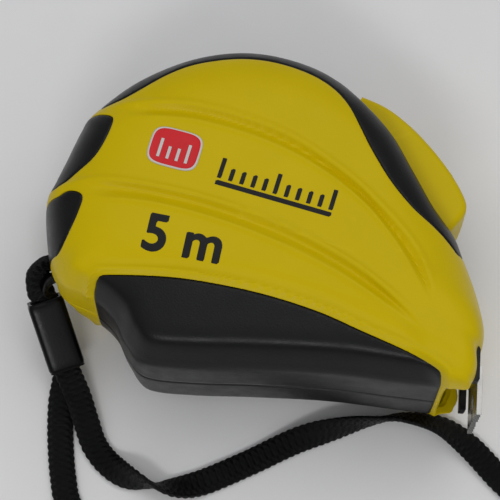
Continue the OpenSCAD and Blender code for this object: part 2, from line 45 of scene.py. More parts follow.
SEAM = 18.0             # the parting plane of the case, over the table
HALF = 18.0             # from the seam out to the face of either half
WALL = 1.9              # thin enough for the button and the strap to run clear of it
RUBBER = 1.3
FACE_INSET = 22.0       # how far in from the outline the profile lines end, on the flat face
CREST_INSET = 14.0      # from here in, a profile line may be stretched to fit
SLOT_HALF = 8.3         # half the width of the lock slot
EYE_Y = (-9.9, -2.6)    # the window that the strap passes through
EYE_HALF = 3.4
MOUTH_Y = (-23.4, -19.3)
MOUTH_HALF = 10.0
BLADE_W = 19.0
BLADE_END = 43.1        # x at the tip
BLADE_Y = -21.2         # the middle of the curved blade
CURVE_R = 29.0          # radius of the blade's curved section
CURVE_Y = BLADE_Y + CURVE_R
STRAP_W = 5.0
STRAP_T = 1.3
RIB = 1.25              # pitch of the strap's ribs

OUTLINE = [
    (42.1, -24.9), (42.9, -22.8), (43, -19.9), (44.2, -18), (44.4, -14.4), (43.1, -8.4),
    (40.8, -2.2), (38.6, 3.2), (35, 9.4),
    (30.8, 16), (26.3, 22.5), (19.8, 28.6), (11, 33.8), (0, 35.9), (-11, 34), (-21.4, 28.6),
    (-29.2, 21.4), (-31.2, 17.8), (-33.2, 12.2), (-34.8, 7.8), (-36, 4), (-35.4, -2),
    (-33.8, -8.4), (-30.8, -12.2), (-25.6, -14.4), (-21.6, -17.8), (-19, -22.2), (-15.4, -25.5),
    (-7, -26), (4, -25.6), (18, -25.4), (31, -26.1), (40.4, -26.4)]
# height over the seam and inset from the outline: the domed sides, the base side, and the
# nose beside the mouth, which has squarer edges
DOME = [
    (0, 0), (5, 0.15), (9, 0.8), (12, 2), (14.2, 3.8), (16, 6.4), (17.2, 9.6), (17.8, 14),
    (HALF, FACE_INSET)]
BASE = [
    (0, 0), (6, 0.05), (9.4, 0.15), (10.8, 0.5), (12, 1), (14.2, 2), (15.7, 2.9), (16.5, 3.9),
    (16.9, 5.4), (17.2, 8), (17.7, 14), (HALF, FACE_INSET)]
NOSE = [
    (0, 0), (6, 0.05), (10, 0.15), (13, 0.3), (15.2, 0.65), (16.5, 1.3), (17.2, 2.3), (17.6, 4),
    (17.8, 8), (17.95, 14), (HALF, FACE_INSET)]

# each rubber pad: its edge over the face, then the points that close it outside the case
GRIP_EDGE = [
    (-25.3, -16.2), (-25.2, -13.9), (-24.3, -12.4), (-22.4, -11.8), (-11, -11.7), (2.5, -13.2),
    (14, -15.9), (22.4, -19), (30.5, -22.1), (35.2, -24.5), (36.6, -25.8), (36.9, -27.6)]
GRIP_REST = [(37, -34), (-26.5, -34), (-25.6, -18)]
DOME_EDGE = [
    (38.6, -2.3), (37.2, -0.9), (34.3, 1.5), (30, 4.7), (25.8, 9.2), (22.4, 14.4), (20.2, 18.6),
    (17.9, 23.2), (15, 26.7), (10.7, 29.4), (4.7, 31.3), (-0.6, 31.8), (-5.5, 31.3), (-11.2, 29.9),
    (-15.6, 27.6), (-20.1, 24.3), (-23.4, 22.3), (-26.8, 21.2)]
DOME_REST = [(-31, 25), (-20, 42), (30, 42), (50, 4), (43, -2.2)]
REAR_UPPER_EDGE = [
    (-33.6, 4.9), (-32.2, 5.6), (-30.2, 7.2), (-26.9, 10.4), (-24.8, 15), (-24.4, 18.2),
    (-26.6, 19.4)]
REAR_UPPER_REST = [(-31, 20.4), (-42, 22), (-44, 6.2)]
REAR_LOWER_EDGE = [
    (-32.4, -7.4), (-31.6, -6.6), (-30.3, -4), (-28.8, -0.2), (-28.4, 2.7), (-31, 3.9),
    (-33.2, 3.2)]
REAR_LOWER_REST = [(-44, 3.2), (-44, -5.6)]
# for each groove in the face: its upper edge, its lower edge, its depth and the x of its left end
GROOVES = [
    ([(-27, 20), (-22, 20.5), (-13.3, 20.7), (-7.7, 20.1), (-2.8, 19.1), (4.2, 17), (9.7, 14.5),
      (14.7, 11.4), (19.6, 7.9), (23.8, 4.1), (28.7, -0.9), (31.7, -5.2), (33.5, -9.6),
      (34.8, -15)],
     [(-22, 18), (-11.6, 17.9), (-6.1, 17.1), (-0.6, 15.8), (4.4, 14.2), (9.2, 12.2), (14.1, 9.5),
      (18.3, 6.6), (22.5, 3), (26, -1), (28.8, -4.9), (31.3, -9.2), (34.6, -15.2)], 0.85, -23),
    ([(-37, 3.8), (-33, 4.2), (-29, 4.9), (-25.5, 5.2), (-20.7, 5), (-15.4, 4.4), (-8.4, 3.2),
      (-1.5, 1.5), (5.3, -0.6), (12.1, -3.4), (19, -6.9), (24.6, -10.6), (29.3, -14.5),
      (33.6, -18.9)],
     [(-28, 2), (-18.5, 1.8), (-11.7, 0.9), (-4.8, -0.6), (2.1, -2.6), (8.9, -5.1), (15.8, -8.1),
      (20.6, -10.7), (26, -14.1), (30, -16.9), (33.8, -19.8)], 0.9, -29)]

# x, y, z and roll in degrees: from the sleeve up round the bar in the eye, and back
EYE_ROUTE = [
    (-31.4, -20.3, 5.4, 0), (-33.5, -15.6, 8.2, 0), (-35.8, -10.6, 11.5, 0), (-37, -8.9, 13.2, 25),
    (-37.3, -6.8, 15.2, 55), (-35.6, -5, 17.2, 80), (-33, -4.35, 18, 90), (-30.6, -4.35, 18, 90),
    (-29.1, -5.1, 18, 90), (-28.7, -6.2, 18, 90), (-29.1, -7.3, 18, 90), (-30.6, -8.05, 18, 90),
    (-33, -8.05, 17.6, 80), (-35.6, -8.4, 14.6, 10), (-36.4, -9, 12.2, -15), (-36.1, -9.7, 10.4, 0),
    (-33.9, -14.9, 7, 0), (-31.6, -20, 4.1, 0)]
# from the sleeve round the loop for the wrist, and back
WRIST_ROUTE = [
    (-31.2, -21.3, 3.85, 0), (-31.6, -23.8, 2.3, 0), (-32, -26.8, 0.9, 0), (-31.8, -31, 0.7, 0),
    (-31.2, -36, 0.7, 0), (-30.2, -41.5, 0.7, 0), (-28.6, -46.5, 0.7, 0), (-23.5, -54, 0.7, 0),
    (-14, -59.5, 0.7, 0), (0, -62.5, 0.7, 0), (18, -63.5, 0.7, 0), (36, -62, 0.7, 0),
    (50, -57, 0.7, 0), (58, -49, 0.7, 0), (56, -41, 0.7, 0), (50.5, -35.7, 0.7, 0),
    (44.5, -30, 0.7, 10), (39, -26.8, 1.4, 35), (32.5, -25.9, 2.2, 60), (27.6, -26.7, 2.6, 85),
    (21.5, -28.3, 2.2, 120), (13, -31.2, 0.9, 165), (4.2, -36, 0.7, 180), (-3.9, -40.2, 0.7, 180),
    (-9.5, -42, 1.8, 215), (-14, -41.8, 2.6, 270), (-18.6, -40.4, 1.8, 325), (-22.2, -38, 0.9, 355),
    (-25, -34.8, 1, 360), (-26.9, -30.6, 2.1, 360), (-28.7, -26.2, 3, 360), (-31, -21.9, 5.1, 360)]
# the middle of the sleeve's upper end, the way it runs, and the ways its width and depth point
SLEEVE_TOP = np.array((-36, -10.1, 11))
SLEEVE_DIR = np.array((0.354, -0.809, -0.469))
SLEEVE_SIDE = np.array((0.916, 0.401, 0))
SLEEVE_UP = np.array((0.188, -0.43, 0.883))
SLEEVE_L = 13.8


# ---------------------------------------------------------------- camera, floor and light

def add_camera():
    data = bpy.data.cameras.new("camera")
    data.sensor_width = 36
    data.lens = 143.6
    data.shift_x = 0.018
    data.shift_y = -0.066
    data.clip_start = 0.02
    camera = bpy.data.objects.new("camera", data)
    camera.location = (0.00795, -0.11367, 0.36693)
    camera.rotation_euler = (math.radians(19), 0, math.radians(4))
    bpy.context.scene.collection.objects.link(camera)
    bpy.context.scene.camera = camera


def add_light(name, size, power, place):
    """Rectangular lamp that faces the object."""
    data = bpy.data.lights.new(name, "AREA")
    data.shape = "RECTANGLE"
    data.size, data.size_y = size
    data.energy = power
    light = bpy.data.objects.new(name, data)
    light.location = place
    light.rotation_euler = (-Vector(place)).to_track_quat("-Z", "Y").to_euler()
    bpy.context.scene.collection.objects.link(light)


def add_studio():
    world = bpy.data.worlds.new("studio")
    world.use_nodes = True
    tree = world.node_tree
    background = tree.nodes["Background"].inputs
    background["Color"].default_value = (0.97, 0.98, 1, 1)
    # the room is brighter overhead than near the horizon
    parts = add_node(tree, "SeparateXYZ", Vector=add_node(tree, "TexCoord").outputs["Generated"])
    plug(tree, background["Strength"], ranged(tree, parts.outputs["Z"], 0.22, 0.6, 0, 1))
    bpy.context.scene.world = world
    bpy.context.scene.view_settings.view_transform = "Standard"
    add_light("softbox", (0.9, 0.8), 2.3, (0.2, 0.45, 1.0))
    add_light("lamp", (0.35, 0.14), 2.0, (-0.05, -0.72, 0.78))


def add_floor():
    mesh = bpy.data.meshes.new("floor")
    far = 3.0
    corners = [(-far, -far, 0), (far, -far, 0), (far, far, 0), (-far, far, 0)]
    mesh.from_pydata(corners, [], [(0, 1, 2, 3)])
    floor = bpy.data.objects.new("floor", mesh)
    bpy.context.scene.collection.objects.link(floor)
    material("floor", (0.83, 0.825, 0.825), 0.6, grain=(60, 0.015), bump=(900, 0.02))
    mesh.materials.append(MATS["floor"])


# ---------------------------------------------------------------- materials

MATS = {}


def plug(tree, socket, value):
    """Set an input to a value, or link it to another node's output."""
    if isinstance(value, bpy.types.NodeSocket):
        tree.links.new(value, socket)
    else:
        socket.default_value = value


def add_node(tree, kind, **inputs):
    node = tree.nodes.new("ShaderNode" + kind)
    for name, value in inputs.items():
        plug(tree, node.inputs[name.replace("_", " ")], value)
    return node


def noise(tree, coords, scale, detail, rough=0.55):
    return add_node(tree, "TexNoise", Scale=scale, Detail=detail, Roughness=rough,
                    Vector=coords).outputs["Fac"]


def ranged(tree, value, low, high, start=0.25, end=0.75):
    """A value between start and end, spread from low to high."""
    return add_node(tree, "MapRange", Value=value, From_Min=start, From_Max=end, To_Min=low,
                    To_Max=high).outputs["Result"]


def mixed(tree, first, second, factor):
    """One colour turning into another."""
    mix = tree.nodes.new("ShaderNodeMix")
    mix.data_type = "RGBA"
    for name, value in (("A", first), ("B", second), ("Factor", factor)):
        plug(tree, mix.inputs[name], value)
    return mix.outputs["Result"]


def bumped(tree, height, strength, distance, **under):
    """Surface normal with a relief, over the normal under it where one is given."""
    return add_node(tree, "Bump", Height=height, Strength=strength, Distance=distance,
                    **under).outputs["Normal"]


def material(name, colour, rough, grain, bump, metal=0.0, worn=0.0, rough_var=0.06, coat=0.0,
             specular=0.5, scratch=0.0):
    """Faintly uneven colour and roughness, fine relief, and paler worn edges or brushed lines.

    grain is the scale and the amount of the unevenness, bump those of the relief.
    """
    MATS[name] = bpy.data.materials.new(name)
    MATS[name].use_nodes = True
    tree = MATS[name].node_tree
    shader = tree.nodes["Principled BSDF"].inputs
    shader["Metallic"].default_value = metal
    shader["Specular IOR Level"].default_value = specular
    shader["Coat Weight"].default_value = coat
    shader["Coat Roughness"].default_value = 0.2
    grain_scale, uneven = grain
    bump_scale, bump_strength = bump
    coords = add_node(tree, "TexCoord").outputs["Object"]
    low = (*[c * (1 - uneven) for c in colour], 1)
    high = (*[min(1, c * (1 + uneven)) for c in colour], 1)
    out = mixed(tree, low, high, ranged(tree, noise(tree, coords, grain_scale, 4), 0, 1))
    if worn:
        edge = add_node(tree, "NewGeometry").outputs["Pointiness"]
        pale = (*[min(1, c * 1.6 + 0.03) for c in colour], 1)
        out = mixed(tree, out, pale, ranged(tree, edge, 0, worn, 0.52, 0.62))
    plug(tree, shader["Base Color"], out)
    smear = noise(tree, coords, grain_scale * 1.7, 5, 0.65)
    plug(tree, shader["Roughness"], ranged(tree, smear, rough - rough_var, rough + rough_var))
    normal = bumped(tree, noise(tree, coords, bump_scale, 2), bump_strength, 0.0001)
    if scratch:
        stretch = add_node(tree, "Mapping", Vector=coords, Scale=(150, 4000, 150))
        lines = noise(tree, stretch.outputs["Vector"], 1.0, 2)
        normal = bumped(tree, lines, scratch, 0.00005, Normal=normal)
    plug(tree, shader["Normal"], normal)
    return tree, shader


def woven(name, colour):
    """Flat braid: fine diagonal threads over the ribs of the mesh."""
    tree, shader = material(name, colour, 0.4, grain=(900, 0.35), bump=(5200, 0.5),
                            rough_var=0.12, specular=0.26)
    wave = add_node(tree, "TexWave", Scale=2.4, Distortion=0.6,
                    Vector=add_node(tree, "TexCoord").outputs["UV"])
    wave.bands_direction = "DIAGONAL"
    under = shader["Normal"].links[0].from_socket
    plug(tree, shader["Normal"], bumped(tree, wave.outputs["Fac"], 0.7, 0.00015, Normal=under))


def ruled(name, colour):
    """Blade paint with ticks along both edges: short at 1 mm, longer at 5, right across at 10."""
    tree, shader = material(name, colour, 0.32, grain=(120, 0.05), bump=(1500, 0.05), coat=0.4)
    place = add_node(tree, "SeparateXYZ", Vector=add_node(tree, "TexCoord").outputs["UV"])
    along, across = place.outputs["X"], place.outputs["Y"]
    half_line = 0.09

    def maths(operation, *values):
        node = add_node(tree, "Math")
        node.operation = operation
        for socket, value in zip(node.inputs, values):
            plug(tree, socket, value)
        return node.outputs["Value"]

    def ticks(step, reach):
        phase = maths("SUBTRACT", maths("FRACT", maths("DIVIDE", along, step)), 0.5)
        line = maths("GREATER_THAN", maths("ABSOLUTE", phase), 0.5 - half_line / step)
        edge = maths("GREATER_THAN", maths("ABSOLUTE", across), BLADE_W / 2 - reach)
        return maths("MULTIPLY", line, edge)

    mark = maths("MAXIMUM", ticks(1, 2.6), maths("MAXIMUM", ticks(5, 3.8), ticks(10, 9.6)))
    paint = shader["Base Color"].links[0].from_socket
    plug(tree, shader["Base Color"], mixed(tree, paint, (0.01, 0.01, 0.01, 1), mark))


material("yellow_plastic", (0.63, 0.47, 0.0), 0.36, grain=(90, 0.025), bump=(2300, 0.2),
         worn=0.05, specular=0.1)
material("black_rubber", (0.0035, 0.0035, 0.0037), 0.36, grain=(140, 0.12), bump=(3000, 0.3),
         worn=0.08, rough_var=0.08, specular=0.22)
material("black_plastic", (0.0012, 0.0012, 0.0013), 0.3, grain=(160, 0.1), bump=(2600, 0.12),
         worn=0.08, specular=0.16)
material("plated_steel", (0.36, 0.355, 0.34), 0.22, grain=(300, 0.05), bump=(1400, 0.06),
         metal=1.0, scratch=0.15)
material("zinc_steel", (0.55, 0.55, 0.56), 0.34, grain=(400, 0.1), bump=(2500, 0.1), metal=1.0,
         scratch=0.2)
material("spring_steel", (0.22, 0.24, 0.3), 0.3, grain=(300, 0.2), bump=(1800, 0.1), metal=1.0,
         scratch=0.2)
material("reel_plastic", (0.55, 0.55, 0.52), 0.5, grain=(200, 0.04), bump=(2200, 0.12))
material("red_print", (0.66, 0.008, 0.014), 0.42, grain=(260, 0.05), bump=(3200, 0.1),
         specular=0.3)
material("white_print", (0.62, 0.6, 0.58), 0.45, grain=(300, 0.05), bump=(3200, 0.08))
material("black_print", (0.006, 0.006, 0.006), 0.5, grain=(500, 0.2), bump=(2300, 0.16),
         specular=0.25)
woven("strap_fabric", (0.0008, 0.0008, 0.0009))
ruled("blade_paint", (0.72, 0.53, 0.03))


# ---------------------------------------------------------------- mesh helpers

def publish(name, points, faces, body, slot, nodes=(), angle=32, uv=None, mats=None,
            face_mats=None):
    """Make a piece from points in millimetres, smooth it and register it.

    faces is a list, or an array, from which unused points are dropped. Edges sharper than angle
    stay sharp. mats and face_mats give a piece more than one material.
    """
    points = np.asarray(points, float)
    if isinstance(faces, np.ndarray):
        used, flat = np.unique(faces, return_inverse=True)
        faces = flat.reshape(faces.shape)
        points = points[used]
        if uv is not None:
            uv = uv[used]
    mesh = bpy.data.meshes.new(name)
    if isinstance(faces, np.ndarray):
        k = faces.shape[1]
        mesh.vertices.add(len(points))
        mesh.vertices.foreach_set("co", (points * MM).ravel())
        mesh.loops.add(faces.size)
        mesh.loops.foreach_set("vertex_index", faces.ravel().astype(np.int32))
        mesh.polygons.add(len(faces))
        mesh.polygons.foreach_set("loop_start", np.arange(0, faces.size, k, dtype=np.int32))
    else:
        mesh.from_pydata((points * MM).tolist(), [], faces)
    mesh.update(calc_edges=True)
    mesh.validate()
    for m in mats or [slot]:
        mesh.materials.append(MATS[m])
    if face_mats is not None:
        mesh.polygons.foreach_set("material_index", np.asarray(face_mats, dtype=np.int32))
    if uv is not None:
        layer = mesh.uv_layers.new(name="UVMap")
        index = np.empty(len(mesh.loops), dtype=np.int32)
        mesh.loops.foreach_get("vertex_index", index)
        layer.data.foreach_set("uv", np.asarray(uv, float)[index].ravel())
    mesh.shade_smooth()
    mesh.set_sharp_from_angle(angle=math.radians(angle))
    piece = bpy.data.objects.new(name, mesh)
    bpy.context.scene.collection.objects.link(piece)
    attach(piece, body)
    if nodes:
        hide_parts(*nodes)
    return piece


def bevel(piece, width, angle=40):
    """Round the edges sharper than angle."""
    mod = piece.modifiers.new("edge", "BEVEL")
    mod.width = width * MM
    mod.segments = 2
    mod.limit_method = "ANGLE"
    mod.angle_limit = math.radians(angle)
    mod.use_clamp_overlap = True


SPAN_STEPS = 24     # from one given point to the next


def curve(points, count, closed=False):
    """Smooth line through the points, spaced evenly by length. A fourth column just follows."""
    p = np.asarray(points, float)
    n = len(p)
    dense = []
    for i in range(n if closed else n - 1):
        a, b, c, d = ((p[(i - 1) % n], p[i], p[(i + 1) % n], p[(i + 2) % n]) if closed else
                      (p[max(i - 1, 0)], p[i], p[i + 1], p[min(i + 2, n - 1)]))
        t = np.linspace(0, 1, SPAN_STEPS, endpoint=False)[:, None]
        dense.append(0.5 * (2 * b + (c - a) * t + (2 * a - 5 * b + 4 * c - d) * t ** 2
                            + (3 * b - a - 3 * c + d) * t ** 3))
    dense = np.vstack(dense + [p[:1] if closed else p[-1:]])
    step = np.linalg.norm(np.diff(dense[:, :3], axis=0), axis=1)
    at = np.concatenate([[0], np.cumsum(step)])
    want = np.linspace(0, at[-1], count + 1)[:-1] if closed else np.linspace(0, at[-1], count)
    return np.stack([np.interp(want, at, dense[:, k]) for k in range(p.shape[1])], axis=1)


def line_distance(xy, line):
    """Distance from each point to an open line."""
    best = np.full(len(xy), 1e9)
    for a, b in zip(line[:-1], line[1:]):
        d = b - a
        t = np.clip(((xy - a) @ d) / max(d @ d, 1e-9), 0, 1)
        best = np.minimum(best, np.hypot(*(xy - a - t[:, None] * d).T))
    return best


def side_distance(xy, line):
    """Distance to a line that runs towards +X, positive below it."""
    best, sign = np.full(len(xy), 1e9), np.ones(len(xy))
    for a, b in zip(line[:-1], line[1:]):
        d, v = b - a, xy - a
        t = np.clip((v @ d) / max(d @ d, 1e-9), 0, 1)
        r = np.hypot(*(v - t[:, None] * d).T)
        closer = r < best
        below = np.where(d[0] * v[:, 1] - d[1] * v[:, 0] < 0, 1.0, -1.0)
        best, sign = np.where(closer, r, best), np.where(closer, below, sign)
    return best * sign


def region_distance(xy, loop):
    """Distance to the edge of a closed region, positive inside."""
    inside = np.zeros(len(xy), bool)
    for a, b in zip(loop, np.roll(loop, -1, axis=0)):
        crosses = (a[1] > xy[:, 1]) != (b[1] > xy[:, 1])
        if a[1] != b[1]:
            x = (b[0] - a[0]) * (xy[:, 1] - a[1]) / (b[1] - a[1]) + a[0]
            inside ^= crosses & (xy[:, 0] < x)
    d = line_distance(xy, np.vstack([loop, loop[:1]]))
    return np.where(inside, d, -d)


def smooth(low, high, x):
    """0 below low, 1 above high, and an even S between."""
    t = np.clip((x - low) / (high - low), 0, 1)
    return t * t * (3 - 2 * t)


def split(attr, tris, col, value, snap=0.035):
    """Cut the triangles where one column of attr crosses a value, keeping both sides."""
    attr = attr.copy()
    g = attr[:, col] - value
    close = np.abs(g) < snap
    attr[close, col] = value
    g[close] = 0
    sign = np.sign(g)[tris]
    cross = (sign.max(1) > 0) & (sign.min(1) < 0)
    fresh, made, known = [], [], {}

    def between(a, b):
        key = (a, b) if a < b else (b, a)
        if key not in known:
            t = g[a] / (g[a] - g[b])
            p = attr[a] * (1 - t) + attr[b] * t
            p[col] = value
            known[key] = len(attr) + len(fresh)
            fresh.append(p)
        return known[key]

    for tri in tris[cross]:
        s = [g[i] for i in tri]
        if 0 in s:
            k = s.index(0)
            a, b, c = tri[k], tri[(k + 1) % 3], tri[(k + 2) % 3]
            m = between(b, c)
            made += [(a, b, m), (a, m, c)]
        else:
            k = [i for i in range(3) if s[i] * s[(i + 1) % 3] < 0 and s[i] * s[(i + 2) % 3] < 0][0]
            a, b, c = tri[k], tri[(k + 1) % 3], tri[(k + 2) % 3]
            ab, ac = between(a, b), between(a, c)
            made += [(a, ab, ac), (ab, b, c), (ab, c, ac)]
    if fresh:
        attr = np.vstack([attr, fresh])
        tris = np.vstack([tris[~cross], np.array(made)])
    return attr, tris


def border(tris):
    """Directed edges that only one triangle has."""
    e = np.vstack([tris[:, [0, 1]], tris[:, [1, 2]], tris[:, [2, 0]]])
    big = int(tris.max()) + 1
    key = e[:, 0].astype(np.int64) * big + e[:, 1]
    back = e[:, 1].astype(np.int64) * big + e[:, 0]
    return e[~np.isin(key, back)]


def slab(top, bottom, tris):
    """Closed body between two layers of the same triangles."""
    n = len(top)
    e = border(tris)
    rim = np.vstack([np.stack([e[:, 1], e[:, 0], e[:, 0] + n], 1),
                     np.stack([e[:, 1], e[:, 0] + n, e[:, 1] + n], 1)])
    return np.vstack([top, bottom]), np.vstack([tris, tris[:, ::-1] + n, rim])


def grid_quads(rows, cols, wrap_rows=False, wrap_cols=False):
    """One quad for each cell of a grid."""
    i, j = np.meshgrid(np.arange(rows if wrap_rows else rows - 1),
                       np.arange(cols if wrap_cols else cols - 1), indexing="ij")
    a = i * cols + j
    b = i * cols + (j + 1) % cols
    c = ((i + 1) % rows) * cols + (j + 1) % cols
    d = ((i + 1) % rows) * cols + j
    return np.stack([a, b, c, d], -1).reshape(-1, 4)


def grid_tris(rows, cols, wrap=False):
    """Two triangles for each cell of a grid."""
    quads = grid_quads(rows, cols, wrap_cols=wrap)
    return np.vstack([quads[:, [0, 1, 2]], quads[:, [0, 2, 3]]])


# ---------------------------------------------------------------- case halves

# what each surface point holds: its place, its normal, the way in from the outline, what is left
# of that way to the spine, and its depth inside the openings, the pads and the grooves
COLUMNS = 16
X, Y, RISE, NX, NY, NZ, SX, SY, LEFT, OPEN, GRIP, DOMED, REAR_U, REAR_L, G1, G2 = range(COLUMNS)
REGIONS = [
    (GRIP, "grip_pad", GRIP_EDGE, GRIP_REST), (DOMED, "dome_strip", DOME_EDGE, DOME_REST),
    (REAR_U, "rear_pad_upper", REAR_UPPER_EDGE, REAR_UPPER_REST),
    (REAR_L, "rear_pad_lower", REAR_LOWER_EDGE, REAR_LOWER_REST)]


def region_loop(edge, rest):
    """Closed loop round a pad, smooth along the edge that shows."""
    return np.vstack([curve(edge, 5 * len(edge)), np.array(rest, float)])


def case_field(near, cols, rows, centre_rows):
    """Smooth surface of one half: columns round the outline, rows up and in to the spine."""
    loop = curve(OUTLINE, cols, closed=True)
    spine_x = np.clip(loop[:, 0], 0, 20)
    spine = np.stack([spine_x, -0.25 * spine_x], 1)
    to = spine - loop
    far = np.linalg.norm(to, axis=1)
    to /= far[:, None]
    # the far half keeps the rounder sides below the eye, where the sleeve hangs
    heel = 1 - smooth(-13, -7, loop[:, 1]) if near else smooth(-22, -15, loop[:, 0])
    base = np.where(loop[:, 0] < -14, heel, 1 - smooth(-24, -18, loop[:, 1]))
    nose = smooth(34, 41, loop[:, 0]) * (1 - smooth(-25, -6, loop[:, 1])) * near
    base *= 1 - nose
    share = np.stack([1 - base - nose, base, nose], 1)
    lines = np.stack([curve(DOME, rows), curve(BASE, rows), curve(NOSE, rows)])
    rise, inset = share @ lines[:, :, 0], share @ lines[:, :, 1]
    # a row close to the seam keeps the parting line fine
    rise[:, 1] = np.minimum(rise[:, 1], 0.3)
    end = np.minimum(FACE_INSET, 0.9 * far)[:, None]
    stretch = (end - CREST_INSET) / (FACE_INSET - CREST_INSET)
    inset = np.where(inset > CREST_INSET, CREST_INSET + (inset - CREST_INSET) * stretch, inset)
    # the dome wall is drawn in beside the lock slot
    angle = np.degrees(np.arctan2(loop[:, 1], loop[:, 0]))
    beside = smooth(1, 15, angle) * (1 - smooth(50, 62, angle)) * (loop[:, 0] > 0)
    inset += 1.2 * beside[:, None] * (1 - smooth(8, 15, rise))
    # the far half is tucked in where the strap passes it
    if not near:
        tuck = np.exp(-(np.hypot(loop[:, 0] + 32.3, loop[:, 1] + 10.2) / 3.4) ** 2)
        inset += 1.1 * tuck[:, None] * smooth(1, 5, rise) * (1 - smooth(12, 15, rise))
    rest = np.linspace(0, 1, centre_rows + 1)[1:]
    inset = np.hstack([inset, inset[:, -1:] + (far[:, None] - inset[:, -1:]) * rest[None, :]])
    rise = np.hstack([rise, np.full((cols, centre_rows), HALF)])
    xy = loop[:, None, :] + to[:, None, :] * inset[..., None]
    # the chin beside the mouth hangs a little lower towards the marked face
    chin = smooth(35, 41, loop[:, 0]) * (1 - smooth(-25, -19, loop[:, 1])) * near
    xy[..., 1] -= 1.0 * chin[:, None] * smooth(7, 13, rise) * (1 - smooth(6, 14, inset))
    p = np.concatenate([xy, rise[..., None]], axis=-1)
    du = np.roll(p, -1, axis=0) - np.roll(p, 1, axis=0)
    dv = np.gradient(p, axis=1)
    n = np.cross(du, dv)
    # the columns meet at the spine, which faces straight out
    n[:, -3:] = (0, 0, 1)
    size = np.linalg.norm(n, axis=-1, keepdims=True)
    n = np.where(size > 1e-9, n / np.maximum(size, 1e-9), (0, 0, 1.0))
    n *= np.where(n[..., 2:].mean() < 0, -1, 1)
    every = rows + centre_rows
    attr = np.zeros((cols * every, COLUMNS))

    def by_row(values):
        return np.swapaxes(values, 0, 1).reshape(cols * every, -1)

    attr[:, [X, Y, RISE]] = by_row(p)
    attr[:, [NX, NY, NZ]] = by_row(n)
    attr[:, [SX, SY]] = by_row(np.repeat(to[:, None, :], every, axis=1))
    attr[:, [LEFT]] = by_row(far[:, None] - inset)
    return attr, grid_tris(every, cols, wrap=True)


def opening(attr):
    """Positive inside the lock slot, the eye window and the mouth with its open floor."""
    x, y, r = attr[:, X], attr[:, Y], attr[:, RISE]
    low, high = math.radians(-2.86), math.radians(58.5)
    slot = np.minimum.reduce([SLOT_HALF - r, y * math.cos(low) - x * math.sin(low),
                              x * math.sin(high) - y * math.cos(high), x])
    eye = np.minimum.reduce([y - EYE_Y[0], EYE_Y[1] - y, EYE_HALF - r, -29.5 - x])
    mouth = np.minimum.reduce([x - 31, y - MOUTH_Y[0], MOUTH_Y[1] - y, MOUTH_HALF - r])
    floor = np.minimum.reduce([x - 37.6, MOUTH_Y[1] - y, MOUTH_HALF + 2 - r])
    return np.maximum.reduce([slot, eye, mouth, floor])


def groove_edges(upper, lower):
    return curve(upper, 80), curve(lower, 80)


def valley(attr):
    """Relief of the sweeping grooves: a round upper edge, a hollow and a thin ridge below it."""
    total = np.zeros(len(attr))
    on_face = np.flatnonzero(attr[:, RISE] > HALF / 2)
    p = attr[on_face][:, [X, Y]]
    for upper, lower, depth, start in GROOVES:
        up, low = groove_edges(upper, lower)
        below_up, below_low = side_distance(p, up), side_distance(p, low)
        wide = np.maximum(below_up - below_low, 1.2)
        right = smooth(1, 11, np.hypot(*(p - up[-1]).T))
        left = smooth(start, start + 7, p[:, 0])
        hollow = -depth * smooth(-0.1, 0.42, below_up / wide) * smooth(0, 0.85, -below_low / wide)
        ridge = 0.24 * np.exp(-(below_low / 0.55) ** 2)
        lip = 0.3 * np.exp(-((below_up + 0.5) / 0.65) ** 2)
        lip = lip * smooth(up[0, 0], up[0, 0] + 5, p[:, 0])
        total[on_face] += ((hollow + ridge) * left + lip) * right
    return total


def relief(attr, rubber):
    """Height of the finished skin over the smooth surface, with its edges eased."""
    h = -0.25 * np.clip(1 + attr[:, OPEN] / 0.4, 0, 1) ** 2
    h -= 0.16 * (1 - smooth(0, 0.35, attr[:, RISE]))
    edges = np.maximum.reduce([attr[:, c] for c, *_ in REGIONS])
    if rubber:
        return h - 0.3 * np.clip(1 - edges / 0.45, 0, 1) ** 2 - 0.02
    h -= 0.14 * np.clip(1 + edges / 0.3, 0, 1) ** 2
    # a raised rim runs along the grip, with a shallow dip behind it
    face = smooth(5, 10, attr[:, RISE])
    h += 0.42 * np.exp(-((attr[:, GRIP] + 1.15) / 0.6) ** 2) * face
    h -= 0.16 * np.exp(-((attr[:, GRIP] + 3.2) / 1.1) ** 2) * face
    return h + valley(attr)


def level(attr, depth):
    """The surface drawn in by a depth, for the inside of the shell or of a pad."""
    take = depth * np.clip(attr[:, LEFT] / 6, 0, 1)
    # the sides of an opening stay square to the seam
    squeeze = depth / HALF * np.clip(-attr[:, OPEN] / 2, 0, 1)
    return np.stack([attr[:, X] + attr[:, SX] * take, attr[:, Y] + attr[:, SY] * take,
                     attr[:, RISE] * (1 - squeeze)], 1)


def placed(points, near):
    """Points with their rise from the seam turned into a height over the table."""
    p = points.copy()
    p[:, 2] = SEAM + p[:, 2] if near else SEAM - p[:, 2]
    return p


def oriented(tris, near):
    """The far half is a mirror image, so its triangles turn the other way."""
    return tris if near else tris[:, ::-1]


EDGE_CUTS = (0, 0.45, -0.3)     # where the mesh is cut along the edge of each pad


